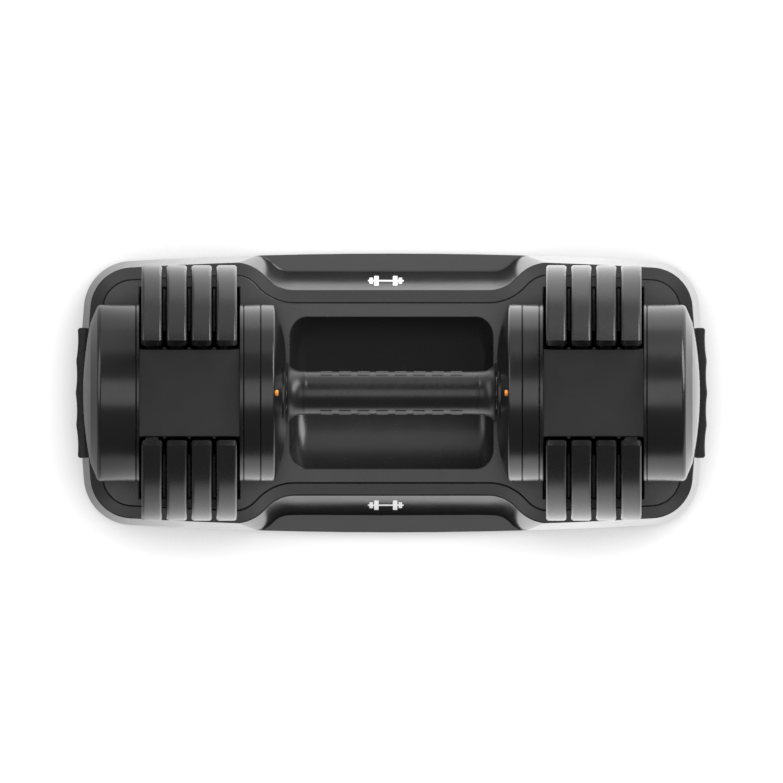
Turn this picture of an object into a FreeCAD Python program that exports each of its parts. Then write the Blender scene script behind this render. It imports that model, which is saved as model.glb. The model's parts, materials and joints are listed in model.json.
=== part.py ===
import FreeCAD, Part

import math
import os

from FreeCAD import Placement, Rotation, Vector

# An adjustable dumbbell resting in its tray, in millimetres.
# Frame: origin on the table under the middle of the tray, +X along the handle, +Z up.
# The tray is drawn in that frame. The dumbbell is drawn in the axle frame: z along the handle, x across it
# and y up, with its origin in the middle of the grip. One placement carries the axle frame into the main
# frame. The right half of the dumbbell is drawn, and mirrored for the left. The whole handle turns on the
# core rod to select the weight.

# ---- Driving dimensions ----
AXIS_Z = 100.0  # height of the handle's axis above the table
RUN = 0.6  # clearance between the docked dumbbell and the tray
SEAM = 0.5  # small edge break that shows as a seam between two parts

# Tray
TRAY_HALF_LENGTH = 218.0
TRAY_HALF_WIDTH = 97.6
SIDE_BOW_R = 3200.0  # the long sides are gently bowed
END_BOW_R = 690.0
CORNER_R = 34.0
FOOT_H = 3.0
FLOOR_T = 3.0
FLANGE_Z = 9.0
DECK_Z = 44.0
RIM_DROP = 0.9  # the rim falls outwards by this much
RIM_W = 8.2
RIM_T = 6.0
WALL_LEAN = 4.6  # how far the outer wall leans in from flange to rim
WALL_T = 3.0
DECK_T = 2.6
DECK_GAP = 0.45  # groove between the rim and the deck
EDGE_R = 0.8  # rounding of the openings in the deck
EDGE_BREAK = 0.6  # bevel of the tray's other edges

# Waist: where the tray's wall steps in beside the grip. Each outline has y at the ends, y at the middle,
# x where the two arcs meet, outer arc radius and inner arc radius.
WAIST_FOOT = (96.4, 85.2, 83.0, 19.0, 15.5)
WAIST_RIM = (91.4, 71.8, 87.8, 30.0, 26.0)

# Hand well under the grip
WELL_HALF_LENGTH = 71.0
WELL_HALF_WIDTH = 53.2
WELL_END_R = 12.0  # rounding where the trough meets its end walls
WELL_FLOOR_Z = 14.0

# Plate bays
BAY_X0 = 106.4
BAY_X1 = 176.4
BAY_HALF_WIDTH = 74.3
BAY_FLOOR_Z = 10.0
BAY_SHELL = 4.0
RIB_T = 1.5
RIB_INNER_R = 72.0

# Finger grips on the two ends of the tray
END_GRIP_FINGERS = 4
END_GRIP_PITCH = 22.5
END_GRIP_PROUD = 3.0  # how far the grip stands out past the flange
END_GRIP_GROOVE = 0.75
END_GRIP_KNUCKLE = 2.2  # half width of the ridge between two fingers
END_GRIP_LEVELS = ((13.0, 1.2), (14.2, 0.0), (25.6, 0.0), (26.6, 0.8))  # height, inset

# Weight plates
PLATE_COUNT = 4
PLATE_R = 89.4
PLATE_T = 14.4
PLATE_PITCH = 17.45
FIRST_PLATE_Z = 115.4  # along the axle, middle of the innermost plate
PLATE_EDGE_R = 2.2
SLOT_HALF_WIDTH = 33.0
SLOT_FLOOR_Y = -42.6
SLOT_CORNER_R = 11.0
SLOT_MOUTH = 3.8  # the slot's mouth widens by this much
SLOT_MOUTH_DEPTH = 5.5
POCKET_HALF_HEIGHT = 18.0
POCKET_DEPTH = 6.2

# Bridge block between the two frame plates of each side
BLOCK_HALF_WIDTH = 30.8
BLOCK_TOP_Y = 52.0
BLOCK_BOTTOM_Y = -41.2
BLOCK_CORNER_R = 10.5
BLOCK_WALL = 3.0
BLOCK_Z0 = 106.4
BLOCK_Z1 = 176.4
WINDOW_HALF_HEIGHT = 27.5
WINDOW_W = 11.4

# Discs and covers
DISC_R = 61.8
SHELL_T = 2.5
INNER_PLATE_Z0 = 103.6
OUTER_PLATE_Z1 = 178.7
RING_Z0 = 91.7
COVER_HOLE_R = 13.0
CAP_FLAT_Z = 203.4
CAP_END_Z = 215.8
CAP_DOME_R = 238.0
CAP_CONE_R = 49.0  # where the cone meets the dome
CAP_FLAT_R = 3.0  # flat spot in the middle of the dome
POINTER_R = 2.1
POINTER_Y = 58.2
POINTER_FRONT_Z = 79.2
POINTER_BACK_Z = 82.1
POINTER_ROUND = 0.8

# Selector
STEP_DEG = 34.0  # handle angle from one weight to the next
SETTINGS = 5
CAM_R = 37.5
CAM_T = 9.0
CAM_HUB_R = 15.0
CAM_CLEAR_DEG = 26.7  # a released lobe stays at least this far from the plate's pocket
SLEEVE_R = 10.0
SLEEVE_BORE_R = 6.4
SLEEVE_Z0 = 55.0
SLEEVE_Z1 = 196.0
DISPLAY_R = 46.5
DISPLAY_Z0 = 80.4
DETENT_R = 21.0
DETENT_Z0 = 190.0
DETENT_T = 4.0
LOCK_RING_R = 24.0
LOCK_RING_Z0 = 95.0
LOCK_RING_T = 3.5
LOCK_TRAVEL = 4.0
SLIDER_Z0 = 92.2
SLIDER_T = 2.0

# Handle
ROD_R = 6.1
ROD_HALF_LENGTH = 206.0
HANDLE_TUBE_R = 12.0
HANDLE_TUBE_HALF = 79.6
GRIP_R = 15.5
GRIP_HALF = 61.0
GRIP_SEAM = 0.1
COLLAR_END_Z = 73.3
COLLAR_R = 21.2

SCREW_R = 1.6
SCREW_HEAD_R = 3.2
SCREW_HEAD_T = 2.0
HOUSING_SCREWS = ((24.0, 43.0), (-24.0, 43.0), (24.0, -30.0), (-24.0, -30.0))
TRAY_BOSSES = ((192.0, 62.0), (88.0, 62.0))
FOOT_SPOTS = ((176.0, 66.0), (62.0, 74.0))

AXLE = Placement(Vector(0, 0, AXIS_Z), Rotation(Vector(1, 1, 1), 120))


# ---- Helpers ----
def box(x0, x1, y0, y1, z0, z1):
    return Part.makeBox(x1 - x0, y1 - y0, z1 - z0, Vector(x0, y0, z0))


def rod(radius, z0, z1, x=0.0, y=0.0):
    return Part.makeCylinder(radius, z1 - z0, Vector(x, y, z0))


def tube(outer, inner, z0, z1):
    return rod(outer, z0, z1).cut(rod(inner, z0 - 1, z1 + 1))


def roller(radius, x0, x1, z):
    """A cylinder along the main frame's X."""
    return Part.makeCylinder(radius, x1 - x0, Vector(x0, 0, z), Vector(1, 0, 0))


def line(a, b):
    return Part.LineSegment(a, b).toShape()


def arc(a, middle, b):
    return Part.Arc(a, middle, b).toShape()


def polygon(points):
    return Part.makePolygon(list(points) + [points[0]])


def turned(edges):
    """A solid of revolution about the axle, from an outline of (radius, z) edges."""
    return Part.Face(Part.Wire(edges)).revolve(Vector(0, 0, 0), Vector(0, 0, 1), 360)


def turned_ring(outer, inner, z0, z1, edge):
    """A flat ring with its two outer edges broken."""
    points = [
        Vector(inner, 0, z0),
        Vector(outer - edge, 0, z0),
        Vector(outer, 0, z0 + edge),
        Vector(outer, 0, z1 - edge),
        Vector(outer - edge, 0, z1),
        Vector(inner, 0, z1),
    ]
    return turned(polygon(points).Edges)


def prism(wire, height):
    return Part.Face(wire).extrude(Vector(0, 0, height))


def loft(wires):
    return Part.makeLoft(wires, True, True)


def upright(solid):
    """The edges of a solid that run along z."""
    return [e for e in solid.Edges if e.BoundBox.XLength < 1e-6 and e.BoundBox.YLength < 1e-6]


def level_edges(solid, z, shortest=6.0):
    """The edges of a solid that lie at one height, without the smallest ones."""
    long_edges = [e for e in solid.Edges if e.Length > shortest]
    return [e for e in long_edges if abs(e.BoundBox.ZMin - z) < 1e-4 and abs(e.BoundBox.ZMax - z) < 1e-4]


def rounded_box(x0, x1, y0, y1, z0, z1, radius):
    plain = box(x0, x1, y0, y1, z0, z1)
    return plain.makeFillet(radius, upright(plain))


def fuse(solids):
    first, rest = solids[0], solids[1:]
    return first.multiFuse(rest).removeSplitter()


def both_sides(solid):
    """A solid and its mirror image across the main frame's XZ plane."""
    return [solid, solid.mirror(Vector(0, 0, 0), Vector(0, 1, 0))]


def both_ends(solid):
    return [solid, solid.mirror(Vector(0, 0, 0), Vector(1, 0, 0))]


def four_ways(x, y):
    return [(sx * x, sy * y) for sx in (1, -1) for sy in (1, -1)]


def plate_centres():
    return [FIRST_PLATE_Z + i * PLATE_PITCH for i in range(PLATE_COUNT)]


def gap_centres():
    return [z + PLATE_PITCH / 2 for z in plate_centres()[:-1]]


# ---- Tray ----
def tray_outline(inset, z):
    """The tray's outline seen from above, moved in by inset: four shallow arcs and four round corners."""
    side = Vector(0, TRAY_HALF_WIDTH - SIDE_BOW_R, 0)
    end = Vector(TRAY_HALF_LENGTH - END_BOW_R, 0, 0)
    # The corner's centre is where two circles about the bow centres cross.
    a = SIDE_BOW_R - CORNER_R
    b = END_BOW_R - CORNER_R
    apart = side.distanceToPoint(end)
    along = (a * a - b * b + apart * apart) / (2 * apart)
    off = math.sqrt(a * a - along * along)
    u = (end - side).normalize()
    corner = side + u * along + Vector(u.y, -u.x, 0) * off
    top = side + (corner - side).normalize() * (SIDE_BOW_R - inset)
    right = end + (corner - end).normalize() * (END_BOW_R - inset)
    outward = ((top - corner).normalize() + (right - corner).normalize()).normalize()
    middle = corner + outward * (CORNER_R - inset)

    def at(point, sx, sy):
        return Vector(sx * point.x, sy * point.y, z)

    side_middle = Vector(0, TRAY_HALF_WIDTH - inset, 0)
    end_middle = Vector(TRAY_HALF_LENGTH - inset, 0, 0)
    edges = [
        arc(at(top, -1, 1), at(side_middle, 1, 1), at(top, 1, 1)),
        arc(at(top, 1, 1), at(middle, 1, 1), at(right, 1, 1)),
        arc(at(right, 1, 1), at(end_middle, 1, 1), at(right, 1, -1)),
        arc(at(right, 1, -1), at(middle, 1, -1), at(top, 1, -1)),
        arc(at(top, 1, -1), at(side_middle, 1, -1), at(top, -1, -1)),
        arc(at(top, -1, -1), at(middle, -1, -1), at(right, -1, -1)),
        arc(at(right, -1, -1), at(end_middle, -1, 1), at(right, -1, 1)),
        arc(at(right, -1, 1), at(middle, -1, 1), at(top, -1, 1)),
    ]
    return Part.Wire(edges)


def waist_outline(shape, inset, z):
    """The area outside the waist on the +Y side: a straight middle, two S-bends and a far edge."""
    y_end, y_middle, x_bend, r_end, r_middle = shape
    sweep = math.acos(1 - (y_end - y_middle) / (r_end + r_middle))
    s, c = math.sin(sweep), math.cos(sweep)
    s_half, c_half = math.sin(sweep / 2), math.cos(sweep / 2)
    r_end, r_middle = r_end - inset, r_middle + inset
    y_end, y_middle, x_bend = y_end - inset, y_middle - inset, x_bend + inset * s
    x_end = x_bend + r_end * s
    x_flat = x_bend - r_middle * s
    far = TRAY_HALF_WIDTH + 30
    start = Vector(x_end, y_end, z)
    start_mid = Vector(x_end - r_end * s_half, y_end - r_end * (1 - c_half), z)
    bend = Vector(x_bend, y_end - r_end * (1 - c), z)
    flat_mid = Vector(x_flat + r_middle * s_half, y_middle + r_middle * (1 - c_half), z)
    flat = Vector(x_flat, y_middle, z)

    def left(point):
        return Vector(-point.x, point.y, z)

    edges = [
        arc(start, start_mid, bend),
        arc(bend, flat_mid, flat),
        line(flat, left(flat)),
        arc(left(flat), left(flat_mid), left(bend)),
        arc(left(bend), left(start_mid), left(start)),
        line(left(start), Vector(-x_end, far, z)),
        line(Vector(-x_end, far, z), Vector(x_end, far, z)),
        line(Vector(x_end, far, z), start),
    ]
    return Part.Wire(edges)


def waist_cut(wires):
    return both_sides(loft(wires))


def cradle_shell(x0, x1):
    """The trough wall under one disc of the docked dumbbell."""
    outside = roller(DISC_R + RUN + DECK_T, x0, x1, AXIS_Z)
    return outside.common(box(x0, x1, -80, 80, FOOT_H, DECK_Z - 0.01))


def disc_room():
    """The space that the discs and caps of the docked dumbbell need."""
    radius = DISC_R + RUN + 0.2
    inner = roller(radius, 79.0, BAY_X0 + 1, AXIS_Z)
    outer = roller(radius, BAY_X1 - 1, 209.6, AXIS_Z)
    return both_ends(inner) + both_ends(outer)


def tray_wall():
    """The leaning outer wall of the tray, as a solid block."""
    return loft([tray_outline(0, FLANGE_Z), tray_outline(WALL_LEAN, DECK_Z - RIM_DROP)])


def tray_tub():
    rim_z = DECK_Z - RIM_DROP
    floor_z = FOOT_H + FLOOR_T
    flange = prism(tray_outline(0, FOOT_H), FLANGE_Z - FOOT_H)
    wall = tray_wall()
    rim = loft([tray_outline(WALL_LEAN, rim_z), tray_outline(WALL_LEAN + RIM_W, DECK_Z)])
    waists = waist_cut([waist_outline(WAIST_FOOT, 0, FLANGE_Z), waist_outline(WAIST_RIM, 0, rim_z)])
    rim_waists = waist_cut([waist_outline(WAIST_RIM, 0, rim_z), waist_outline(WAIST_RIM, RIM_W, DECK_Z)])
    upper = wall.cut(waists).fuse(rim.cut(rim_waists))
    body = flange.fuse(upper)

    room = loft([tray_outline(WALL_T, floor_z), tray_outline(WALL_LEAN + WALL_T, DECK_Z - RIM_T)])
    room_waists = waist_cut([
        waist_outline(WAIST_FOOT, WALL_T, floor_z),
        waist_outline(WAIST_RIM, WALL_T, DECK_Z - RIM_T),
    ])
    mouth = prism(tray_outline(WALL_LEAN + RIM_W, DECK_Z - RIM_T), RIM_T + 1)
    mouth_wire = waist_outline(WAIST_RIM, RIM_W, DECK_Z - RIM_T)
    mouth_waist = both_sides(prism(mouth_wire, RIM_T + 1))
    body = body.cut([room.cut(room_waists), mouth.cut(mouth_waist)])

    saddle_x0 = TRAY_HALF_LENGTH - WALL_LEAN - RIM_W + 0.2
    saddle = cradle_shell(saddle_x0, TRAY_HALF_LENGTH - WALL_LEAN - 1.5)
    body = body.fuse(both_ends(saddle)).cut(disc_room())
    holes = [rod(SCREW_R + 0.2, 0, FLANGE_Z, x, y) for spot in TRAY_BOSSES for x, y in four_ways(*spot)]
    heads = [
        rod(SCREW_HEAD_R + 0.3, 0, FOOT_H + SCREW_HEAD_T + 0.2, x, y)
        for spot in TRAY_BOSSES
        for x, y in four_ways(*spot)
    ]
    body = body.cut(holes + heads).removeSplitter()
    edges = [e for z in (rim_z, FLANGE_Z, FOOT_H) for e in level_edges(body, z)]
    return body.makeChamfer(EDGE_BREAK, edges)


def hand_well(grow):
    """The hollow under the grip: a round trough along the handle, rounded into its two end walls."""
    depth = DECK_Z - WELL_FLOOR_Z
    trough_r = (WELL_HALF_WIDTH**2 + depth**2) / (2 * depth)
    half = WELL_HALF_LENGTH + grow
    drum = roller(trough_r + grow, -half, half, WELL_FLOOR_Z + trough_r)
    rims = [e for e in drum.Edges if e.BoundBox.XLength < 1e-6]
    drum = drum.makeFillet(WELL_END_R + grow, rims)
    return drum.common(box(-half, half, -TRAY_HALF_WIDTH, TRAY_HALF_WIDTH, 0, DECK_Z + 1))


def bay_trough(grow):
    """The space of one plate bay, round at the bottom."""
    depth = DECK_Z - BAY_FLOOR_Z
    radius = (BAY_HALF_WIDTH**2 + depth**2) / (2 * depth)
    x0, x1 = BAY_X0 - min(grow, DECK_T), BAY_X1 + min(grow, DECK_T)
    barrel = roller(radius + grow, x0, x1, BAY_FLOOR_Z + radius)
    half = BAY_HALF_WIDTH + min(grow, DECK_T)
    return barrel.common(box(x0, x1, -half, half, 0, DECK_Z + (1 if grow == 0 else 0)))


def bay_ribs():
    """Thin walls that keep the parked plates apart."""
    ring = roller(RIB_INNER_R, BAY_X0, BAY_X1, AXIS_Z)
    ribs = []
    for x in gap_centres():
        slab = box(x - RIB_T / 2, x + RIB_T / 2, -BAY_HALF_WIDTH, BAY_HALF_WIDTH, 0, DECK_Z - 1.5)
        ribs.append(bay_trough(0.5).common(slab).cut(ring))
    return ribs


def lock_post():
    """The small post that lifts a lock slider while the dumbbell is docked."""
    x0 = SLIDER_Z0 - 0.2
    tip = AXIS_Z - 57.0
    return box(x0, x0 + SLIDER_T + 0.6, -3.6, 3.6, AXIS_Z - DISC_R - 3, tip)


def tray_deck():
    inset = WALL_LEAN + RIM_W + DECK_GAP
    bottom = DECK_Z - DECK_T
    edge = EDGE_BREAK
    shoulder = DECK_Z - edge
    waist_in = RIM_W + DECK_GAP
    lower = prism(tray_outline(inset, bottom), shoulder - bottom)
    lower = lower.cut(both_sides(prism(waist_outline(WAIST_RIM, waist_in, bottom), shoulder - bottom)))
    upper = loft([tray_outline(inset, shoulder), tray_outline(inset + edge, DECK_Z)])
    upper = upper.cut(waist_cut([
        waist_outline(WAIST_RIM, waist_in, shoulder),
        waist_outline(WAIST_RIM, waist_in + edge, DECK_Z),
    ]))
    sheet = lower.fuse(upper)
    shells = [hand_well(DECK_T).common(box(-90, 90, -70, 70, 0, DECK_Z))]
    shells += both_ends(bay_trough(BAY_SHELL).common(box(0, 300, -90, 90, FOOT_H + FLOOR_T, DECK_Z)))
    shells += both_ends(cradle_shell(77.0, BAY_X0 - 1))
    shells += both_ends(cradle_shell(BAY_X1 + 1, TRAY_HALF_LENGTH - inset - 0.4))
    floor_z = FOOT_H + FLOOR_T
    for spot in TRAY_BOSSES:
        shells += [rod(4.5, floor_z, DECK_Z - 1, x, y) for x, y in four_ways(*spot)]
    body = sheet.fuse(shells)
    cuts = [hand_well(0)]
    cuts += both_ends(bay_trough(0))
    cuts += disc_room()
    for spot in TRAY_BOSSES:
        cuts += [rod(SCREW_R + 0.1, 0, 24.0, x, y) for x, y in four_ways(*spot)]
    body = body.cut(cuts)
    mouths = [e for e in level_edges(body, DECK_Z) if abs(e.CenterOfMass.y) < BAY_HALF_WIDTH + 1]
    mouths = [e for e in mouths if abs(e.CenterOfMass.x) < BAY_X1 + 1 and e.Length < 2 * WELL_HALF_LENGTH]
    mouths = [e for e in mouths if e.Length > 30 or abs(e.CenterOfMass.x) < BAY_X0 - 30]
    body = body.makeFillet(EDGE_R, mouths)
    ribs = [piece for rib in bay_ribs() for piece in both_ends(rib)]
    return body.fuse(ribs + both_ends(lock_post())).removeSplitter()


def tray_feet():
    feet = []
    for spot in FOOT_SPOTS:
        for x, y in four_ways(*spot):
            pad = rod(10.0, 0, FOOT_H, x, y)
            low = [e for e in pad.Edges if e.BoundBox.ZMax < 0.01]
            feet.append(pad.makeChamfer(0.8, low))
    return Part.makeCompound(feet)


def tray_screws():
    screws = []
    for spot in TRAY_BOSSES:
        for x, y in four_ways(*spot):
            head = rod(SCREW_HEAD_R, FOOT_H + 0.2, FOOT_H + 0.2 + SCREW_HEAD_T, x, y)
            screws.append(head.fuse(rod(SCREW_R, FOOT_H + 1, 22.0, x, y)))
    return Part.makeCompound(screws)


def end_grip_plan(inset, z):
    """The outline of one end grip: a bowed front with a shallow groove for each finger."""
    centre_x = TRAY_HALF_LENGTH - END_BOW_R
    half = END_GRIP_FINGERS * END_GRIP_PITCH / 2

    def front(y, depth):
        radius = END_BOW_R + END_GRIP_PROUD - inset - depth
        return Vector(centre_x + math.sqrt(radius**2 - y**2), y, z)

    knuckle = END_GRIP_KNUCKLE
    shallow = END_GRIP_GROOVE / 4
    side = half + 0.6 - inset / 4
    back_x = TRAY_HALF_LENGTH - 20
    edges = [
        line(Vector(back_x, side, z), Vector(back_x, -side, z)),
        line(Vector(back_x, -side, z), front(-side, 1.6)),
        arc(front(-side, 1.6), front(-half + 0.6, shallow), front(-half + knuckle, shallow)),
    ]
    for k in range(END_GRIP_FINGERS):
        y0 = -half + k * END_GRIP_PITCH
        y1 = y0 + END_GRIP_PITCH
        groove = front((y0 + y1) / 2, END_GRIP_GROOVE)
        edges.append(arc(front(y0 + knuckle, shallow), groove, front(y1 - knuckle, shallow)))
        if k < END_GRIP_FINGERS - 1:
            edges.append(arc(front(y1 - knuckle, shallow), front(y1, 0), front(y1 + knuckle, shallow)))
    edges.append(arc(front(half - knuckle, shallow), front(half - 0.6, shallow), front(side, 1.6)))
    edges.append(line(front(side, 1.6), Vector(back_x, side, z)))
    return Part.Wire(edges)


def tray_end_grip():
    """The rubber grip on the outside of the tray's right-hand end wall."""
    slabs = []
    for (low, low_inset), (high, high_inset) in zip(END_GRIP_LEVELS, END_GRIP_LEVELS[1:]):
        slabs.append(loft([end_grip_plan(low_inset, low), end_grip_plan(high_inset, high)]))
    return fuse(slabs).cut(tray_wall())


# ---- Handle, in the axle frame ----
def core_rod():
    plain = rod(ROD_R, -ROD_HALF_LENGTH, ROD_HALF_LENGTH)
    ends = [e for e in plain.Edges if e.BoundBox.ZLength < 1e-6]
    return plain.makeChamfer(1.0, ends)


def handle_tube():
    """The tube under the grip, with the selector sleeves pressed into its ends. All turn on the core rod."""
    return tube(HANDLE_TUBE_R, SLEEVE_R, -HANDLE_TUBE_HALF, HANDLE_TUBE_HALF)


def grip_sleeve():
    return turned_ring(GRIP_R, HANDLE_TUBE_R, -GRIP_HALF, GRIP_HALF, GRIP_SEAM)


def grip_collar():
    """The flared ring between the grip and the inner cover."""
    z0, z1 = GRIP_HALF, COLLAR_END_Z
    points = {
        "bore": Vector(HANDLE_TUBE_R, 0, z0),
        "seam": Vector(GRIP_R - GRIP_SEAM, 0, z0),
        "neck": Vector(GRIP_R, 0, z0 + GRIP_SEAM),
        "flare": Vector(GRIP_R + 1.3, 0, z1 - 4.8),
        "lip": Vector(COLLAR_R, 0, z1 - 0.5),
        "back": Vector(COLLAR_R - 0.5, 0, z1),
        "bore_end": Vector(HANDLE_TUBE_R, 0, z1),
    }
    edges = [
        line(points["bore"], points["seam"]),
        line(points["seam"], points["neck"]),
        arc(points["neck"], points["flare"], points["lip"]),
        line(points["lip"], points["back"]),
        line(points["back"], points["bore_end"]),
        line(points["bore_end"], points["bore"]),
    ]
    return turned(edges)


# ---- One end of the dumbbell, drawn for the right ----
def inner_cover():
    """The domed shell that faces the grip, with the weight window at the top."""
    edges = [
        line(Vector(DISC_R - SHELL_T, 0, 91.5), Vector(DISC_R - SEAM, 0, 91.5)),
        line(Vector(DISC_R - SEAM, 0, 91.5), Vector(DISC_R, 0, 91.5 - SEAM)),
        line(Vector(DISC_R, 0, 91.5 - SEAM), Vector(DISC_R, 0, 83.0)),
        arc(Vector(DISC_R, 0, 83.0), Vector(DISC_R - 0.4, 0, 82.2), Vector(DISC_R - 1.2, 0, 81.6)),
        arc(Vector(DISC_R - 1.2, 0, 81.6), Vector(44.9, 0, 76.5), Vector(23.5, 0, 73.9)),
        line(Vector(23.5, 0, 73.9), Vector(COVER_HOLE_R, 0, 73.6)),
        line(Vector(COVER_HOLE_R, 0, 73.6), Vector(COVER_HOLE_R, 0, 76.1)),
        line(Vector(COVER_HOLE_R, 0, 76.1), Vector(23.5, 0, 76.4)),
        arc(Vector(23.5, 0, 76.4), Vector(44.5, 0, 79.0), Vector(DISC_R - SHELL_T, 0, 84.3)),
        line(Vector(DISC_R - SHELL_T, 0, 84.3), Vector(DISC_R - SHELL_T, 0, 91.5)),
    ]
    window = arc_slot(37.4, 45.2, 24.0, 70.0, 82.0)
    return turned(edges).cut([window, rod(POINTER_R, 77.0, POINTER_BACK_Z, 0, POINTER_Y)])


def arc_slot(r0, r1, half_deg, z0, z1):
    """A curved slot centred on straight up."""
    height = z1 - z0
    wedge = Part.makeCylinder(r1, height, Vector(0, 0, z0), Vector(0, 0, 1), 2 * half_deg)
    wedge.rotate(Vector(0, 0, 0), Vector(0, 0, 1), 90 - half_deg)
    return wedge.cut(rod(r0, z0 - 1, z1 + 1))


def pointer():
    """The small round marker above the weight window. It stands a little proud of the cover."""
    button = rod(POINTER_R, POINTER_FRONT_Z, POINTER_BACK_Z, 0, POINTER_Y)
    return button.makeFillet(POINTER_ROUND, level_edges(button, POINTER_FRONT_Z))


def housing_ring():
    """The ring behind the inner cover, with screw bosses and a slot at the bottom for the lock post."""
    ring = turned_ring(DISC_R, DISC_R - SHELL_T, RING_Z0, INNER_PLATE_Z0 - 0.2, SEAM)
    bosses = []
    for x, y in HOUSING_SCREWS:
        reach = math.hypot(x, y)
        web = box(0, DISC_R - 1 - reach, -1.1, 1.1, RING_Z0 + 1, INNER_PLATE_Z0 - 0.2)
        web.rotate(Vector(0, 0, 0), Vector(0, 0, 1), math.degrees(math.atan2(y, x)))
        web.translate(Vector(x, y, 0))
        bosses += [rod(4.0, RING_Z0 + 1, INNER_PLATE_Z0 - 0.2, x, y), web]
    slot = box(-4.4, 4.4, -DISC_R - 1, -50, RING_Z0 - 1, SLIDER_Z0 + SLIDER_T + 0.9)
    holes = [rod(SCREW_R + 0.1, RING_Z0, INNER_PLATE_Z0, x, y) for x, y in HOUSING_SCREWS]
    return ring.fuse(bosses).cut([slot] + holes).removeSplitter()


def frame_plate(z0, z1):
    """A steel disc at one end of the bridge block."""
    plate = turned_ring(DISC_R, SLEEVE_R + 1.2, z0, z1, SEAM)
    return plate.cut([rod(SCREW_R + 0.1, z0 - 1, z1 + 1, x, y) for x, y in HOUSING_SCREWS])


def block_section(half_width, bottom, top, corner_r, z0, z1):
    """A bar along the axle with round lower corners."""
    plain = box(-half_width, half_width, bottom, top, z0, z1)
    low = [e for e in upright(plain) if e.CenterOfMass.y < 0]
    return plain.makeFillet(corner_r, low)


def bridge_block():
    """The hollow bar that passes through the plate slots. The cams reach out through its side windows."""
    body = block_section(BLOCK_HALF_WIDTH, BLOCK_BOTTOM_Y, BLOCK_TOP_Y, BLOCK_CORNER_R, BLOCK_Z0, BLOCK_Z1)
    top_edges = [e for e in body.Edges if e.BoundBox.YMin > BLOCK_TOP_Y - 0.01 and e.BoundBox.ZLength > 1]
    body = body.makeFillet(0.8, top_edges)
    wall = BLOCK_WALL
    hollow = block_section(
        BLOCK_HALF_WIDTH - wall, BLOCK_BOTTOM_Y + wall - 0.4, BLOCK_TOP_Y - wall, BLOCK_CORNER_R - wall,
        BLOCK_Z0 + wall, BLOCK_Z1 - wall,
    )
    reach = BLOCK_HALF_WIDTH + 2
    h = WINDOW_HALF_HEIGHT
    windows = [box(-reach, reach, -h, h, z - WINDOW_W / 2, z + WINDOW_W / 2) for z in plate_centres()]
    bores = [rod(CAM_HUB_R + 1, BLOCK_Z0 - 1, BLOCK_Z1 + 1)]
    screws = [rod(SCREW_R + 0.1, BLOCK_Z0 - 1, BLOCK_Z1 + 1, x, y) for x, y in HOUSING_SCREWS]
    sinks = []
    sink_r, sink_depth = SCREW_HEAD_R + 0.2, SCREW_HEAD_T + 0.4
    for x, y in HOUSING_SCREWS:
        sinks.append(rod(sink_r, BLOCK_Z0 + wall - sink_depth, BLOCK_Z0 + wall + 1, x, y))
        sinks.append(rod(sink_r, BLOCK_Z1 - wall - 1, BLOCK_Z1 - wall + sink_depth, x, y))
    spacers = []
    for z in gap_centres():
        for side in (1, -1):
            x0, x1 = sorted((side * (BLOCK_HALF_WIDTH - 1), side * (BLOCK_HALF_WIDTH + 1.1)))
            spacers.append(box(x0, x1, -34, BLOCK_TOP_Y - 1.5, z - 0.8, z + 0.8))
    return body.fuse(spacers).cut([hollow] + windows + bores + screws + sinks).removeSplitter()


def cap_form(inset):
    """The outer cap as a solid form, moved in by inset: rim, round shoulder, cone and shallow dome."""
    z0 = OUTER_PLATE_Z1 + 0.2
    dome_r = CAP_DOME_R - inset

    def at(radius, z, lean):
        """A point moved in along a normal that leans away from the axle."""
        angle = math.radians(lean)
        return Vector(radius - inset * math.sin(angle), 0, z - inset * math.cos(angle))

    def on_dome(radius):
        return Vector(radius, 0, CAP_END_Z - CAP_DOME_R + math.sqrt(dome_r**2 - radius**2))

    cone_end = on_dome(CAP_CONE_R - 0.3 * inset)
    flat = on_dome(CAP_FLAT_R)
    edges = [
        line(Vector(0, 0, z0), Vector(DISC_R - inset, 0, z0)),
        line(Vector(DISC_R - inset, 0, z0), at(DISC_R, CAP_FLAT_Z, 90)),
        arc(at(DISC_R, CAP_FLAT_Z, 90), at(60.9, 205.4, 58), at(58.9, 206.6, 22)),
        line(at(58.9, 206.6, 22), cone_end),
        arc(cone_end, on_dome(CAP_CONE_R / 2), flat),
        line(flat, Vector(0, 0, flat.z)),
        line(Vector(0, 0, flat.z), Vector(0, 0, z0)),
    ]
    return turned(edges)


def outer_cap():
    """The domed end shell, with bosses for the housing screws."""
    z0 = OUTER_PLATE_Z1 + 0.2
    shell = cap_form(0).cut(cap_form(SHELL_T))
    mouth = [e for e in shell.Edges if e.BoundBox.ZMax < z0 + 0.01 and e.BoundBox.XMax > DISC_R - 0.01]
    shell = shell.makeChamfer(SEAM, mouth)
    bosses = [rod(4.0, z0, CAP_END_Z, x, y).common(cap_form(SHELL_T / 2)) for x, y in HOUSING_SCREWS]
    holes = [rod(SCREW_R + 0.1, z0 - 1, z0 + 12, x, y) for x, y in HOUSING_SCREWS]
    return shell.fuse(bosses).cut(holes).removeSplitter()


def housing_screws():
    """Screws from inside the block: four into the housing ring and four into the outer cap."""
    tip = RING_Z0 + 1.5
    end = BLOCK_Z1 + 13.6
    low = BLOCK_Z0 + BLOCK_WALL - SCREW_HEAD_T - 0.4
    high = BLOCK_Z1 - BLOCK_WALL + SCREW_HEAD_T + 0.4
    screws = []
    for x, y in HOUSING_SCREWS:
        inner_head = rod(SCREW_HEAD_R, low, low + SCREW_HEAD_T, x, y)
        outer_head = rod(SCREW_HEAD_R, high - SCREW_HEAD_T, high, x, y)
        screws.append(inner_head.fuse(rod(SCREW_R, tip, low + 1, x, y)))
        screws.append(outer_head.fuse(rod(SCREW_R, high - 1, end, x, y)))
    return Part.makeCompound(screws)


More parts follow.
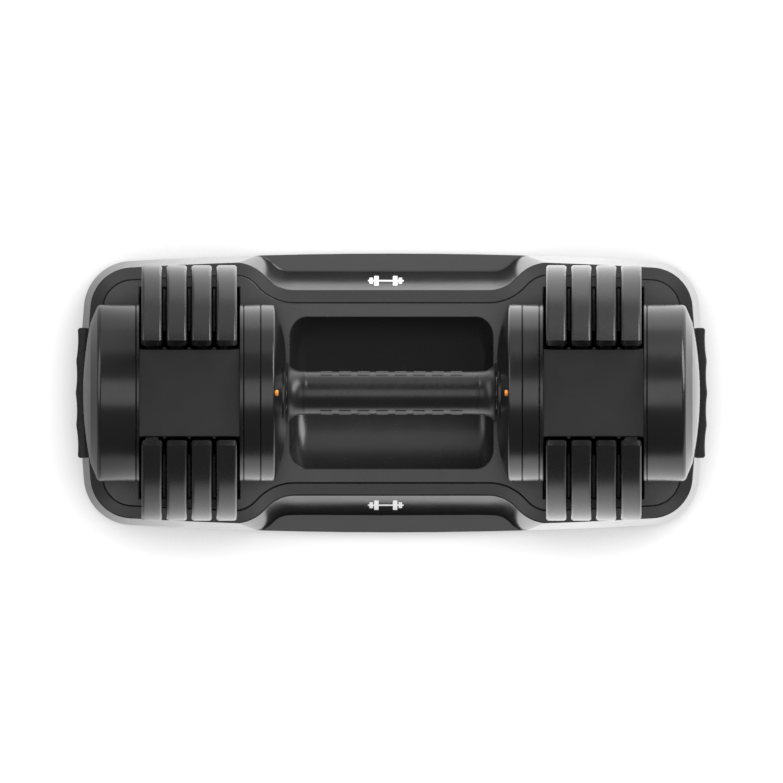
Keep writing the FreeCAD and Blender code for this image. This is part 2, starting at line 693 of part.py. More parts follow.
def retaining_nut():
    radius = 9.6
    points = [
        Vector(radius * math.cos(math.radians(60 * k)), radius * math.sin(math.radians(60 * k)), 0)
        for k in range(6)
    ]
    nut = prism(polygon(points), 7.0)
    nut.translate(Vector(0, 0, SLEEVE_Z1 + 1.0))
    return nut.cut(rod(ROD_R, SLEEVE_Z1, SLEEVE_Z1 + 20))


def cam_lobes(first):
    """The sector of one lobe at the heaviest setting, as its start angle and its width in degrees."""
    last = (SETTINGS - 1) * STEP_DEG
    start = first * STEP_DEG + CAM_CLEAR_DEG - last
    return start, 180 - CAM_CLEAR_DEG - last - start


def selector_cam(index):
    """A disc with two opposite lobes. Each lobe holds its plate from setting index + 1 upwards."""
    z = plate_centres()[index]
    z0, z1 = z - CAM_T / 2, z + CAM_T / 2
    start, width = cam_lobes(index)
    lobes = []
    for turn in (0, 180):
        lobe = Part.makeCylinder(CAM_R, CAM_T, Vector(0, 0, z0), Vector(0, 0, 1), width)
        lobe.rotate(Vector(0, 0, 0), Vector(0, 0, 1), start + turn)
        lobes.append(lobe)
    body = rod(CAM_HUB_R, z0, z1).fuse(lobes).removeSplitter()
    return body.cut(rod(SLEEVE_R, z0 - 1, z1 + 1))


def selector_sleeve():
    return tube(SLEEVE_R, SLEEVE_BORE_R, SLEEVE_Z0, SLEEVE_Z1)


def number_disc():
    """The disc that carries the weight numbers past the window in the inner cover."""
    return turned_ring(DISPLAY_R, SLEEVE_R, DISPLAY_Z0, DISPLAY_Z0 + 2.0, 0.4)


def lock_ring():
    """A ring with one notch for each setting. The notch of the heaviest setting is at the top."""
    z0, z1 = LOCK_RING_Z0, LOCK_RING_Z0 + LOCK_RING_T
    ring = tube(LOCK_RING_R, SLEEVE_R, z0, z1)
    notches = []
    for step in range(SETTINGS):
        notch = box(-3.5, 3.5, LOCK_RING_R - LOCK_TRAVEL, LOCK_RING_R + 2, z0 - 1, z1 + 1)
        notch.rotate(Vector(0, 0, 0), Vector(0, 0, 1), -step * STEP_DEG)
        notches.append(notch)
    return ring.cut(notches)


def lock_slider():
    """A plate round the sleeve, held up by the tray's post. Its tooth drops into the lock ring on lifting."""
    z0, z1 = SLIDER_Z0, SLIDER_Z0 + SLIDER_T
    yoke = rounded_box(-15, 15, -19, 33, z0, z1, 4.0)
    leg = box(-3.2, 3.2, -56.7, -18, z0, z1)
    tooth = box(-3.1, 3.1, LOCK_RING_R + 0.5, LOCK_RING_R + 6, z0, LOCK_RING_Z0 + LOCK_RING_T)
    seat = box(-4.5, 4.5, 31.0, 33.0, z0, z1 + 4.2)
    clear = SLEEVE_R + 1.2
    hole = rounded_box(-clear, clear, -clear, clear + LOCK_TRAVEL, z0 - 1, z1 + 1, clear - 0.1)
    return yoke.fuse([leg, tooth, seat]).cut(hole).removeSplitter()


def lock_spring():
    """The coil that pushes the lock slider down, from the slider's seat to the housing ring."""
    wire_r, coil_r, turns = 0.5, 3.0, 8
    bottom, top = 33.0 + wire_r + 0.1, DISC_R - SHELL_T - wire_r - 0.2
    helix = Part.makeHelix((top - bottom) / turns, top - bottom, coil_r)
    section = Part.Wire(Part.Circle(Vector(coil_r, 0, 0), Vector(0, 1, 0), wire_r).toShape())
    coil = Part.Wire(helix).makePipeShell([section], True, True)
    # The helix is drawn along z, and stands along y in the axle frame.
    coil.rotate(Vector(0, 0, 0), Vector(1, 0, 0), -90)
    coil.translate(Vector(0, bottom, SLIDER_Z0 + SLIDER_T + 1.6))
    return coil


def detent_wheel():
    """A wheel on the selector sleeve with one notch for each setting."""
    z0, z1 = DETENT_Z0, DETENT_Z0 + DETENT_T
    wheel = tube(DETENT_R, SLEEVE_R, z0, z1)
    notches = []
    for step in range(SETTINGS):
        notch = rod(2.2, z0 - 1, z1 + 1, 0, DETENT_R + 0.6)
        notch.rotate(Vector(0, 0, 0), Vector(0, 0, 1), -step * STEP_DEG)
        notches.append(notch)
    return wheel.cut(notches)


def detent_leaf():
    """A steel leaf under the outer cap's upper bosses. Its bump sits in the detent wheel's top notch."""
    z0, z1 = DETENT_Z0 + 0.3, DETENT_Z0 + DETENT_T - 0.3
    t, reach = 0.7, 26.0
    y = HOUSING_SCREWS[0][1] - 4.0 - t
    bump_y = 20.2

    def at(x, height):
        return Vector(x, height, z0)

    outline = [
        at(-reach, y), at(-7.5, y), at(-1.3, bump_y), at(1.3, bump_y), at(7.5, y), at(reach, y),
        at(reach, y + t), at(7.1, y + t), at(0.9, bump_y + t), at(-0.9, bump_y + t), at(-7.1, y + t),
        at(-reach, y + t),
    ]
    return prism(polygon(outline), z1 - z0)


# ---- Weight plates, in the axle frame ----
def weight_plate(index):
    z = plate_centres()[index]
    z0, z1 = z - PLATE_T / 2, z + PLATE_T / 2
    disc = rod(PLATE_R, z0, z1)
    slot = block_section(SLOT_HALF_WIDTH, SLOT_FLOOR_Y, PLATE_R + 5, SLOT_CORNER_R, z0 - 1, z1 + 1)
    half = SLOT_HALF_WIDTH + POCKET_DEPTH
    pockets = rounded_box(-half, half, -POCKET_HALF_HEIGHT, POCKET_HALF_HEIGHT, z0 - 1, z1 + 1, 3.0)
    edge_y = math.sqrt(PLATE_R**2 - (SLOT_HALF_WIDTH + SLOT_MOUTH) ** 2)
    wide = SLOT_HALF_WIDTH + SLOT_MOUTH
    mouth = prism(polygon([
        Vector(-SLOT_HALF_WIDTH, edge_y - SLOT_MOUTH_DEPTH, z0 - 1),
        Vector(SLOT_HALF_WIDTH, edge_y - SLOT_MOUTH_DEPTH, z0 - 1),
        Vector(wide, edge_y, z0 - 1),
        Vector(wide, edge_y + 12, z0 - 1),
        Vector(-wide, edge_y + 12, z0 - 1),
        Vector(-wide, edge_y, z0 - 1),
    ]), PLATE_T + 2)
    body = disc.cut([slot, pockets, mouth]).removeSplitter()
    rims = [e for e in body.Edges if e.BoundBox.ZLength < 1e-6]
    return body.makeFillet(PLATE_EDGE_R, rims)


# ---- Assembly ----
def side_parts():
    """The right-hand parts, in the axle frame."""
    parts = {
        "grip_collar": grip_collar(),
        "inner_cover": inner_cover(),
        "pointer": pointer(),
        "housing_ring": housing_ring(),
        "inner_frame_plate": frame_plate(INNER_PLATE_Z0, BLOCK_Z0),
        "bridge_block": bridge_block(),
        "outer_frame_plate": frame_plate(BLOCK_Z1, OUTER_PLATE_Z1),
        "outer_cap": outer_cap(),
        "housing_screws": housing_screws(),
        "retaining_nut": retaining_nut(),
        "detent_leaf": detent_leaf(),
        "lock_slider": lock_slider(),
        "lock_spring": lock_spring(),
        "detent_wheel": detent_wheel(),
        "selector_sleeve": selector_sleeve(),
        "number_disc": number_disc(),
        "lock_ring": lock_ring(),
    }
    for index in range(PLATE_COUNT):
        parts[f"selector_cam_{index + 1}"] = selector_cam(index)
        parts[f"weight_plate_{index + 1}"] = weight_plate(index)
    return parts


def placed(shape):
    moved = shape.copy()
    moved.Placement = AXLE.multiply(moved.Placement)
    return moved


def all_parts():
    right_grip, left_grip = both_ends(tray_end_grip())
    parts = {
        "tray_tub": tray_tub(),
        "tray_deck": tray_deck(),
        "tray_feet": tray_feet(),
        "tray_screws": tray_screws(),
        "right_tray_grip": right_grip,
        "left_tray_grip": left_grip,
        "core_rod": placed(core_rod()),
        "handle_tube": placed(handle_tube()),
        "grip_sleeve": placed(grip_sleeve()),
    }
    for name, shape in side_parts().items():
        parts[f"right_{name}"] = placed(shape)
        parts[f"left_{name}"] = placed(shape.mirror(Vector(0, 0, 0), Vector(0, 0, 1)))
    return parts


def main():
    os.makedirs("parts", exist_ok=True)
    for name, shape in all_parts().items():
        shape.exportStep(f"parts/{name}.step")
        volume = shape.Volume / 1000
        print(f"{name:26s} valid {shape.isValid()}  solids {len(shape.Solids)}  volume {volume:9.2f} cm3")


main()
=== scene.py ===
import json
import math

import bmesh
import bpy
from mathutils import Matrix, Vector


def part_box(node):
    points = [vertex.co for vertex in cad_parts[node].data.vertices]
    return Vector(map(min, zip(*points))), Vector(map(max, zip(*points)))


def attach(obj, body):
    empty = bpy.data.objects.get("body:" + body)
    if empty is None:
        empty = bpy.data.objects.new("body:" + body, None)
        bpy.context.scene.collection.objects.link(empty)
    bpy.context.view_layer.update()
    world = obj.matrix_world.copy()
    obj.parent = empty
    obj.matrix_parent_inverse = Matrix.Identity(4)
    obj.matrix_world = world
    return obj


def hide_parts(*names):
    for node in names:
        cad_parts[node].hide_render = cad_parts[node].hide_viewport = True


# Looks for the adjustable dumbbell in its tray. Everything is in metres, in the CAD frame: +X along the
# handle, +Z up, the table at z = 0.

MM = 0.001
AXIS_Z = 100 * MM

# View: straight down on the tray. FRAME_WIDTH is what the picture spans.
FRAME_WIDTH = 548.1 * MM
CAMERA_Y = 1.0 * MM
CAMERA_Z = 1.0
CAMERA_REACH = 10.0

# Softboxes: name, power in W, width, height, azimuth from +X and elevation in degrees, and distance
SOFTBOXES = (
    ("top_light", 4.9, 0.95, 0.95, 0, 90, 1.7),
    ("key_light", 54.0, 2.2, 1.1, 40, 32, 2.0),
    ("left_light", 17.0, 1.9, 1.1, 160, 30, 2.0),
    ("back_light", 9.0, 3.0, 1.3, 95, 20, 2.0),
)
ROOM_GLOW = 0.18

# Floor: a back-lit sheet. Its glow to the camera goes by how open the floor is, which paints a soft contact
# shadow into it, and its glow in reflections goes by how far along X it lies, which paints shade on its
# left-hand side and light towards its right.
FLOOR_HALF = 8.0
FLOOR_GLOW = 2.4
PAINTED_CONTACT_SHADOW_REACH = 50 * MM
# Painted contact shadow: the floor's glow to the camera dims where ambient occlusion is low.
SEEN_GLOW_PAINTED_SHADOW = ((0.5, 0.22), (0.75, 0.33), (0.93, 0.43))
PAINTED_SHADE_REACH = 0.5
# Painted shade and light: in reflections the floor's glow is low on its left-hand side and high towards its
# right.
REFLECTED_GLOW_PAINTED_SHADE = ((0.12, 0.10), (0.27, 0.10), (0.36, 0.60), (0.5, 0.72), (0.64, 0.78), (0.74, 0.52))

# Grip: rows of raised pads along both sides. Their tops are at the CAD radius.
GRIP_THICKNESS = 3.4 * MM
GRIP_SINK = 0.26 * MM  # how deep the spaces between the pads are
GRIP_BLEND = 2.5 * MM  # how far from its ends the grip comes back up to the CAD radius
GRIP_AROUND = 216
GRIP_ALONG = 260
PAD_LENGTH = 8.8 * MM
PAD_WIDTH = 3.9 * MM
PAD_CORNER = 1.1 * MM
PAD_SHOULDER = 0.55 * MM
PAD_PITCH = 13.0 * MM
PADS_PER_ROW = 8
PAD_FIRST_DEG = 60.0  # from straight up to the middle of the first row
PAD_ROW_DEG = 20.0
PAD_ROWS = 4
GRIP_SHARP_DEG = 50.0  # an edge with a steeper turn than this is shaded as a crease

# Weight numbers in kilograms, on the two number discs, in the order that the handle reaches them
SETTINGS = (20, 16, 12, 8, 4)
STEP_DEG = 34.0
NUMBER_R = 41.3 * MM
NUMBER_SIZE = 8.4 * MM
NUMBER_PROUD = 0.12 * MM

# Dumbbell pictogram on each waist wall. From its middle outwards, each step has where it ends and its half
# height, in widths of the whole mark.
MARK_WIDTH = 25.0 * MM
MARK_X = -4.0 * MM
MARK_STEPS = ((0.20, 0.05), (0.325, 0.36), (0.36, 0.05), (0.455, 0.22), (0.5, 0.05))
MARK_CORNER = 0.4 * MM
MARK_CORNER_FACES = 4
MARK_PROUD = 0.12 * MM

# The back waist wall in section, from its foot to its head. The front one is its mirror image.
WALL_FOOT = Vector((0, 85.2 * MM, 9.0 * MM))
WALL_HEAD = Vector((0, 71.8 * MM, 43.1 * MM))

# Noise mostly lies between these two levels, so a look that it varies changes over between them.
NOISE_LOW = 0.3
NOISE_HIGH = 0.7
# Painted light: the printed marks glow this much so that they stay white on the shaded side.
INK_PAINTED_GLOW = 0.2


# ---- Node helpers ----
def shader(name, roughness=0.5, metallic=0.0, specular=0.5):
    """A new material and its tree, with what is the same all over the surface set on the shader."""
    material = bpy.data.materials.new(name)
    material.use_nodes = True
    tree = material.node_tree
    principled = tree.nodes["Principled BSDF"]
    principled.inputs["Roughness"].default_value = roughness
    principled.inputs["Metallic"].default_value = metallic
    principled.inputs["Specular IOR Level"].default_value = specular
    return material, tree, principled


def object_coords(tree, stretch=(1.0, 1.0, 1.0)):
    """Places in metres on the piece itself, so that a pattern moves with it."""
    coords = tree.nodes.new("ShaderNodeTexCoord")
    mapping = tree.nodes.new("ShaderNodeMapping")
    mapping.inputs["Scale"].default_value = stretch
    tree.links.new(coords.outputs["Object"], mapping.inputs["Vector"])
    return mapping.outputs["Vector"]


def noise(tree, feature, vector, detail=3.0, roughness=0.55):
    """Noise whose features are about this many metres across."""
    node = tree.nodes.new("ShaderNodeTexNoise")
    node.inputs["Scale"].default_value = 1.0 / feature
    node.inputs["Detail"].default_value = detail
    node.inputs["Roughness"].default_value = roughness
    tree.links.new(vector, node.inputs["Vector"])
    return node.outputs["Fac"]


def ramp(tree, value, stops):
    """A colour ramp from (position, colour) stops. A colour is a grey or an (r, g, b)."""
    node = tree.nodes.new("ShaderNodeValToRGB")
    elements = node.color_ramp.elements
    while len(elements) < len(stops):
        elements.new(0.5)
    for element, (position, colour) in zip(elements, stops):
        rgb = (colour,) * 3 if isinstance(colour, float) else colour
        element.position = position
        element.color = (*rgb, 1.0)
    tree.links.new(value, node.inputs["Fac"])
    return node.outputs["Color"]


def vary(tree, socket, value, looks):
    """Lets a noise value move a socket from the first look to the second: two colours, greys or levels."""
    first, second = looks
    tree.links.new(ramp(tree, value, [(NOISE_LOW, first), (NOISE_HIGH, second)]), socket)


def bumps(tree, principled, layers):
    """Chains bump nodes from (height, depth) layers onto the shader's normal."""
    normal = None
    for height, depth in layers:
        node = tree.nodes.new("ShaderNodeBump")
        node.inputs["Distance"].default_value = depth
        node.inputs["Strength"].default_value = 1.0
        tree.links.new(height, node.inputs["Height"])
        if normal is not None:
            tree.links.new(normal, node.inputs["Normal"])
        normal = node.outputs["Normal"]
    tree.links.new(normal, principled.inputs["Normal"])


# ---- Materials ----
def moulded_plastic(name, tones, roughness, specular=0.5):
    """Dyed ABS: a slow drift in tone, uneven gloss, and the fine grain that a spark-eroded mould leaves."""
    material, tree, principled = shader(name, specular=specular)
    place = object_coords(tree)
    vary(tree, principled.inputs["Base Color"], noise(tree, 60 * MM, place, detail=2.0), tones)
    vary(tree, principled.inputs["Roughness"], noise(tree, 14 * MM, place), roughness)
    bumps(tree, principled, [(noise(tree, 0.4 * MM, place, detail=2.0), 0.0008 * MM)])
    return material


def coloured_plastic(name, colours, roughness):
    """Bright or dark dyed plastic of a small part, with a swirl in the dye."""
    material, tree, principled = shader(name)
    place = object_coords(tree)
    vary(tree, principled.inputs["Base Color"], noise(tree, 3 * MM, place), colours)
    vary(tree, principled.inputs["Roughness"], noise(tree, 1.5 * MM, place), roughness)
    bumps(tree, principled, [(noise(tree, 0.3 * MM, place), 0.003 * MM)])
    return material


def painted_iron(name):
    """Cast iron under thick black enamel: orange peel, faint casting waves, and specks in the gloss."""
    material, tree, principled = shader(name)
    place = object_coords(tree)
    vary(tree, principled.inputs["Base Color"], noise(tree, 30 * MM, place), (0.009, 0.012))
    vary(tree, principled.inputs["Roughness"], noise(tree, 2.2 * MM, place, detail=4.0), (0.24, 0.28))
    peel = noise(tree, 1.3 * MM, place, detail=2.0)
    waves = noise(tree, 18 * MM, place, detail=1.0)
    bumps(tree, principled, [(waves, 0.006 * MM), (peel, 0.0005 * MM)])
    return material


def rubber(name, tone, roughness, specular=0.5):
    """Moulded rubber: dusty patches over a fine pebble."""
    material, tree, principled = shader(name, specular=specular)
    place = object_coords(tree)
    vary(tree, principled.inputs["Base Color"], noise(tree, 25 * MM, place), (tone * 0.8, tone * 1.2))
    vary(tree, principled.inputs["Roughness"], noise(tree, 3 * MM, place, detail=5.0), roughness)
    bumps(tree, principled, [(noise(tree, 0.5 * MM, place), 0.003 * MM)])
    return material


def plated_steel(name, tone, roughness, stretch=(1.0, 1.0, 1.0)):
    """Plated or turned steel, with fine tool marks across the stretched axis."""
    material, tree, principled = shader(name, metallic=1.0)
    place = object_coords(tree, stretch)
    vary(tree, principled.inputs["Base Color"], noise(tree, 12 * MM, place), (tone * 0.85, tone))
    marks = noise(tree, 0.8 * MM, place, detail=4.0)
    vary(tree, principled.inputs["Roughness"], marks, roughness)
    bumps(tree, principled, [(marks, 0.006 * MM)])
    return material


def printed_ink(name):
    """Pad-printed white with slightly uneven cover and a soft gloss, and a painted glow that keeps it light
    in the shade.
    """
    material, tree, principled = shader(name)
    cover = noise(tree, 1.2 * MM, object_coords(tree), detail=5.0)
    vary(tree, principled.inputs["Base Color"], cover, (0.86, 0.95))
    vary(tree, principled.inputs["Roughness"], cover, (0.55, 0.42))
    # Painted glow: emission that keeps the print light in the shade, though the print is no lamp.
    principled.inputs["Emission Color"].default_value = (1.0, 1.0, 1.0, 1.0)
    principled.inputs["Emission Strength"].default_value = INK_PAINTED_GLOW
    bumps(tree, principled, [(cover, 0.004 * MM)])
    return material


def make_materials():
    """One material for each slot. A row has its maker, then what the maker takes after the name."""
    turned = (0.05, 1.0, 1.0)
    rows = {
        "tub_plastic": (moulded_plastic, (0.018, 0.021), (0.18, 0.21)),
        "deck_plastic": (moulded_plastic, (0.021, 0.024), (0.24, 0.28)),
        "collar_plastic": (moulded_plastic, (0.010, 0.012), (0.33, 0.38)),
        "cover_plastic": (moulded_plastic, (0.008, 0.010), (0.23, 0.27)),
        "cap_plastic": (moulded_plastic, (0.008, 0.010), (0.23, 0.27)),
        "block_plastic": (moulded_plastic, (0.009, 0.011), (0.32, 0.36), 0.27),
        "disc_plastic": (coloured_plastic, (0.02, 0.03), (0.45, 0.55)),
        "pointer_orange": (coloured_plastic, ((0.95, 0.27, 0.02), (1.0, 0.33, 0.03)), (0.3, 0.4)),
        "grip_rubber": (rubber, 0.010, (0.26, 0.32)),
        "foot_rubber": (rubber, 0.012, (0.5, 0.6)),
        "tray_grip_rubber": (rubber, 0.004, (0.24, 0.30), 0.32),
        "plate_iron": (painted_iron,),
        "frame_steel": (painted_iron,),
        "rod_steel": (plated_steel, 0.5, (0.2, 0.3), turned),
        "tube_steel": (plated_steel, 0.55, (0.25, 0.35), turned),
        "sleeve_steel": (plated_steel, 0.55, (0.25, 0.35), turned),
        "screw_steel": (plated_steel, 0.55, (0.28, 0.42)),
        "nut_steel": (plated_steel, 0.6, (0.25, 0.4)),
        "spring_steel": (plated_steel, 0.5, (0.2, 0.3)),
        "lock_steel": (plated_steel, 0.6, (0.3, 0.45)),
        "cam_steel": (plated_steel, 0.5, (0.3, 0.45)),
        "ink": (printed_ink,),
    }
    return {name: make(name, *settings) for name, (make, *settings) in rows.items()}


def dress_nodes(frame, materials):
    """Gives every CAD node the material that the record's slots name for it."""
    for part in frame["record"]["subparts"]:
        mesh = frame["nodes"][part["node"]].data
        mesh.materials.clear()
        mesh.materials.append(materials[part["material_slot"]])


# ---- Mesh helpers ----
def new_piece(name, mesh, body, material):
    piece = bpy.data.objects.new(name, mesh)
    bpy.context.scene.collection.objects.link(piece)
    mesh.materials.clear()
    mesh.materials.append(material)
    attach(piece, body)
    return piece


def mesh_from(name, build, smooth):
    bm = bmesh.new()
    build(bm)
    bmesh.ops.recalc_face_normals(bm, faces=bm.faces)
    mesh = bpy.data.meshes.new(name)
    bm.to_mesh(mesh)
    bm.free()
    for face in mesh.polygons:
        face.use_smooth = smooth
    return mesh


# ---- Grip ----
def ease(t):
    """A smooth step from 0 to 1."""
    t = min(max(t, 0.0), 1.0)
    return t * t * (3 - 2 * t)


def pad_height(x, angle, radius):
    """How far up the pads' shoulders a point of the grip lies, from 0 between the pads to 1 on top of one."""
    column = math.floor(x / PAD_PITCH)
    if abs(column + 0.5) > PADS_PER_ROW / 2:
        return 0.0
    row = round((abs(angle) - PAD_FIRST_DEG) / PAD_ROW_DEG)
    row = min(max(row, 0), PAD_ROWS - 1)
    along = abs(x - (column + 0.5) * PAD_PITCH) - PAD_LENGTH / 2 + PAD_CORNER
    across = abs(abs(angle) - PAD_FIRST_DEG - row * PAD_ROW_DEG)
    across = math.radians(across) * radius - PAD_WIDTH / 2 + PAD_CORNER
    outside = math.hypot(max(along, 0), max(across, 0)) + min(max(along, across), 0) - PAD_CORNER
    return ease(-outside / PAD_SHOULDER)


def make_grip(materials):
    """The rubber sleeve, with raised pads along its front and back and a smooth strip on top."""
    low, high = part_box("grip_sleeve")
    half = (high[0] - low[0]) / 2
    radius = (high[2] - low[2]) / 2
    bore = radius - GRIP_THICKNESS

    def outer_radius(x, angle):
        sink = GRIP_SINK * (1 - pad_height(x, angle, radius))
        return radius - sink * ease((half - abs(x)) / GRIP_BLEND)

    def ring(bm, x, radius_at):
        """One ring of vertices. An angle is turned from straight up, in degrees."""
        angles = [360.0 * j / GRIP_AROUND - 180.0 for j in range(GRIP_AROUND)]
        turned = [(math.radians(angle), radius_at(x, angle)) for angle in angles]
        return [bm.verts.new((x, math.sin(a) * r, math.cos(a) * r + AXIS_Z)) for a, r in turned]

    def build(bm):
        rings = [ring(bm, half * (2 * i / GRIP_ALONG - 1), outer_radius) for i in range(GRIP_ALONG + 1)]
        rings += [ring(bm, x, lambda x, angle: bore) for x in (half, -half)]
        for a, b in zip(rings, rings[1:] + rings[:1]):
            for j in range(GRIP_AROUND):
                bm.faces.new((a[j - 1], a[j], b[j], b[j - 1]))

    mesh = mesh_from("embossed_grip", build, True)
    mesh.set_sharp_from_angle(angle=math.radians(GRIP_SHARP_DEG))
    piece = new_piece("embossed_grip", mesh, "selector", materials["grip_rubber"])
    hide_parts("grip_sleeve")


# ---- Weight numbers ----
def number_mesh(text):
    """A number as thin raised print, centred on its own origin."""
    curve = bpy.data.curves.new("number", "FONT")
    curve.body = text
    curve.size = NUMBER_SIZE
    curve.align_x = "CENTER"
    curve.align_y = "CENTER"
    curve.extrude = NUMBER_PROUD / 2
    holder = bpy.data.objects.new("number", curve)
    mesh = bpy.data.meshes.new_from_object(holder)
    bpy.data.objects.remove(holder)
    bpy.data.curves.remove(curve)
    return mesh


def make_numbers(materials, side, sign):
    """The five weights around one number disc, printed on the face towards the grip."""
    low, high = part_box(f"{side}_number_disc")
    face_x = low[0] if sign > 0 else high[0]
    # Seen from the grip, a number's own x runs to the right and its y points away from the axle.
    upright = Matrix(((0, 0, -sign), (-sign, 0, 0), (0, 1, 0))).to_4x4()
    to_rim = Matrix.Translation((0, NUMBER_R, NUMBER_PROUD / 2))
    to_face = Matrix.Translation((face_x, 0, AXIS_Z))

    def build(bm):
        for k, weight in enumerate(SETTINGS):
            turn = Matrix.Rotation(math.radians(-STEP_DEG * k), 4, "X")
            number = number_mesh(str(weight))
            number.transform(to_face @ turn @ upright @ to_rim)
            bm.from_mesh(number)
            bpy.data.meshes.remove(number)

    mesh = mesh_from(f"{side}_weight_numbers", build, False)
    new_piece(f"{side}_weight_numbers", mesh, "selector", materials["ink"])


# ---- Pictograms on the tray ----
def pictogram_outline():
    """The mark's outline, going round once, in widths of the whole mark."""
    quarter = []
    start = 0.0
    for end, half_height in MARK_STEPS:
        quarter += [(start, half_height), (end, half_height)]
        start = end
    right = quarter[1:]
    upper = [(-x, y) for x, y in reversed(right)] + right
    return upper + [(x, -y) for x, y in reversed(upper)]


def make_pictogram(materials, name, sign):
    """A plain dumbbell sign on one waist wall. It stands in for the printed mark of the real tray."""
    foot, head = WALL_FOOT.copy(), WALL_HEAD.copy()
    foot.y *= sign
    head.y *= sign
    up = (head - foot).normalized()
    right = Vector((-sign, 0, 0))
    out = right.cross(up)
    place = Matrix((right, up, out)).transposed().to_4x4()
    place.translation = (foot + head) / 2 + Vector((MARK_X, 0, 0))

    def build(bm):
        outline = [(x * MARK_WIDTH, y * MARK_WIDTH) for x, y in pictogram_outline()]
        top = [bm.verts.new((x, y, MARK_PROUD)) for x, y in outline]
        base = [bm.verts.new((x, y, 0)) for x, y in outline]
        bm.faces.new(top)
        bm.faces.new(base[::-1])
        for i in range(len(outline)):
            bm.faces.new((base[i - 1], base[i], top[i], top[i - 1]))
        corners = [e for e in bm.edges if abs(e.verts[0].co.z - e.verts[1].co.z) > MARK_PROUD / 2]
        bmesh.ops.bevel(
            bm, geom=corners, offset=MARK_CORNER, segments=MARK_CORNER_FACES, profile=0.5, affect="EDGES"
        )
        bmesh.ops.transform(bm, matrix=place, verts=bm.verts)

    mesh = mesh_from(name, build, False)
    new_piece(name, mesh, "tray", materials["ink"])


# ---- Floor, light and camera ----
def floor_glow(tree):
    """How strongly the floor glows: white with a painted soft contact shadow to the camera, and dimmer in
    reflections, with painted shade on its left-hand side and painted light towards its right."""
    contact = tree.nodes.new("ShaderNodeAmbientOcclusion")
    contact.samples = 8
    contact.inputs["Distance"].default_value = PAINTED_CONTACT_SHADOW_REACH
    # Painted contact shadow in the glow that the camera sees.
    seen_with_painted_shadow = ramp(tree, contact.outputs["AO"], SEEN_GLOW_PAINTED_SHADOW)
    split = tree.nodes.new("ShaderNodeSeparateXYZ")
    tree.links.new(object_coords(tree), split.inputs["Vector"])
    across = tree.nodes.new("ShaderNodeMapRange")
    across.inputs["From Min"].default_value = -PAINTED_SHADE_REACH
    across.inputs["From Max"].default_value = PAINTED_SHADE_REACH
    tree.links.new(split.outputs["X"], across.inputs["Value"])
    # Painted shade on the left and painted light on the right, seen only in reflections.
    mirrored_with_painted_shade = ramp(tree, across.outputs["Result"], REFLECTED_GLOW_PAINTED_SHADE)
    rays = tree.nodes.new("ShaderNodeLightPath")
    mix = tree.nodes.new("ShaderNodeMix")
    mix.data_type = "RGBA"
    tree.links.new(rays.outputs["Is Camera Ray"], mix.inputs["Factor"])
    tree.links.new(mirrored_with_painted_shade, mix.inputs["A"])
    tree.links.new(seen_with_painted_shadow, mix.inputs["B"])
    return mix.outputs["Result"]


def make_floor():
    """The back-lit sheet under the tray."""
    mesh = bpy.data.meshes.new("floor")
    corners = [(x * FLOOR_HALF, y * FLOOR_HALF, 0) for x, y in ((-1, -1), (1, -1), (1, 1), (-1, 1))]
    mesh.from_pydata(corners, [], [(0, 1, 2, 3)])
    floor = bpy.data.objects.new("floor", mesh)
    bpy.context.scene.collection.objects.link(floor)
    material, tree, principled = shader("floor", roughness=0.9, specular=0.1)
    drift = noise(tree, 0.5, object_coords(tree), detail=1.0)
    vary(tree, principled.inputs["Base Color"], drift, (0.24, 0.26))
    # The emission carries the painted contact shadow and the painted shade and light in reflections.
    principled.inputs["Emission Strength"].default_value = FLOOR_GLOW
    tree.links.new(floor_glow(tree), principled.inputs["Emission Color"])
    mesh.materials.append(material)


def softbox(name, power, width, height, azimuth, elevation, distance):
    """A rectangular area light aimed at the middle of the dumbbell. Azimuth is turned from +X, in degrees."""
    light = bpy.data.lights.new(name, "AREA")
    light.shape = "RECTANGLE"
    light.size = width
    light.size_y = height
    light.energy = power
    holder = bpy.data.objects.new(name, light)
    a, e = math.radians(azimuth), math.radians(elevation)
    away = Vector((math.cos(a) * math.cos(e), math.sin(a) * math.cos(e), math.sin(e)))
    holder.location = Vector((0, 0, AXIS_Z / 2)) + away * distance
    holder.rotation_mode = "QUATERNION"
    holder.rotation_quaternion = (-away).to_track_quat("-Z", "Y")
    holder.visible_camera = False
    bpy.context.scene.collection.objects.link(holder)


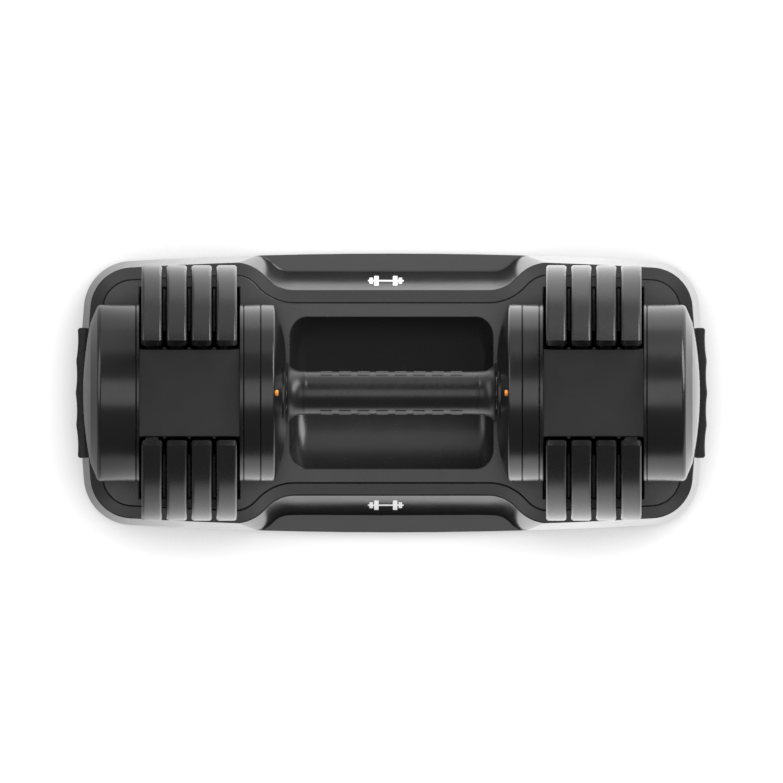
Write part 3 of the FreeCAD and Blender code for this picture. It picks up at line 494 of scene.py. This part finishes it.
def make_world():
    """Dim grey for reflections, and white where the camera sees past the floor."""
    world = bpy.data.worlds.new("studio")
    world.use_nodes = True
    tree = world.node_tree
    dim = tree.nodes["Background"]
    dim.inputs["Color"].default_value = (1.0, 1.0, 1.0, 1.0)
    dim.inputs["Strength"].default_value = ROOM_GLOW
    white = tree.nodes.new("ShaderNodeBackground")
    white.inputs["Color"].default_value = (1.0, 1.0, 1.0, 1.0)
    white.inputs["Strength"].default_value = 1.0
    rays = tree.nodes.new("ShaderNodeLightPath")
    mix = tree.nodes.new("ShaderNodeMixShader")
    tree.links.new(rays.outputs["Is Camera Ray"], mix.inputs["Fac"])
    tree.links.new(dim.outputs["Background"], mix.inputs[1])
    tree.links.new(white.outputs["Background"], mix.inputs[2])
    tree.links.new(mix.outputs["Shader"], tree.nodes["World Output"].inputs["Surface"])
    bpy.context.scene.world = world


def make_camera():
    data = bpy.data.cameras.new("camera")
    data.type = "ORTHO"
    data.ortho_scale = FRAME_WIDTH
    data.clip_end = CAMERA_REACH
    camera = bpy.data.objects.new("camera", data)
    camera.location = (0, CAMERA_Y, CAMERA_Z)
    bpy.context.scene.collection.objects.link(camera)
    bpy.context.scene.camera = camera
    bpy.context.scene.view_settings.view_transform = "Standard"


with open("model.json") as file:
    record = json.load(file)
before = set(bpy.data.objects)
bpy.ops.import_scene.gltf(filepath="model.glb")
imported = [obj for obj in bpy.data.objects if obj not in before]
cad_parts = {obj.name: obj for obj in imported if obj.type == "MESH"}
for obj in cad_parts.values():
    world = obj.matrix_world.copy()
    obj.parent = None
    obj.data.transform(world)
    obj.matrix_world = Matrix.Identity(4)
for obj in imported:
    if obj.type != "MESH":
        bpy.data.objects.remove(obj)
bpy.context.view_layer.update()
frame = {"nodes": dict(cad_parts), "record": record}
materials = make_materials()
dress_nodes(frame, materials)
make_grip(materials)
make_numbers(materials, "right", 1)
make_numbers(materials, "left", -1)
make_pictogram(materials, "back_pictogram", 1)
make_pictogram(materials, "front_pictogram", -1)
make_floor()
make_world()
for row in SOFTBOXES:
    softbox(*row)
make_camera()
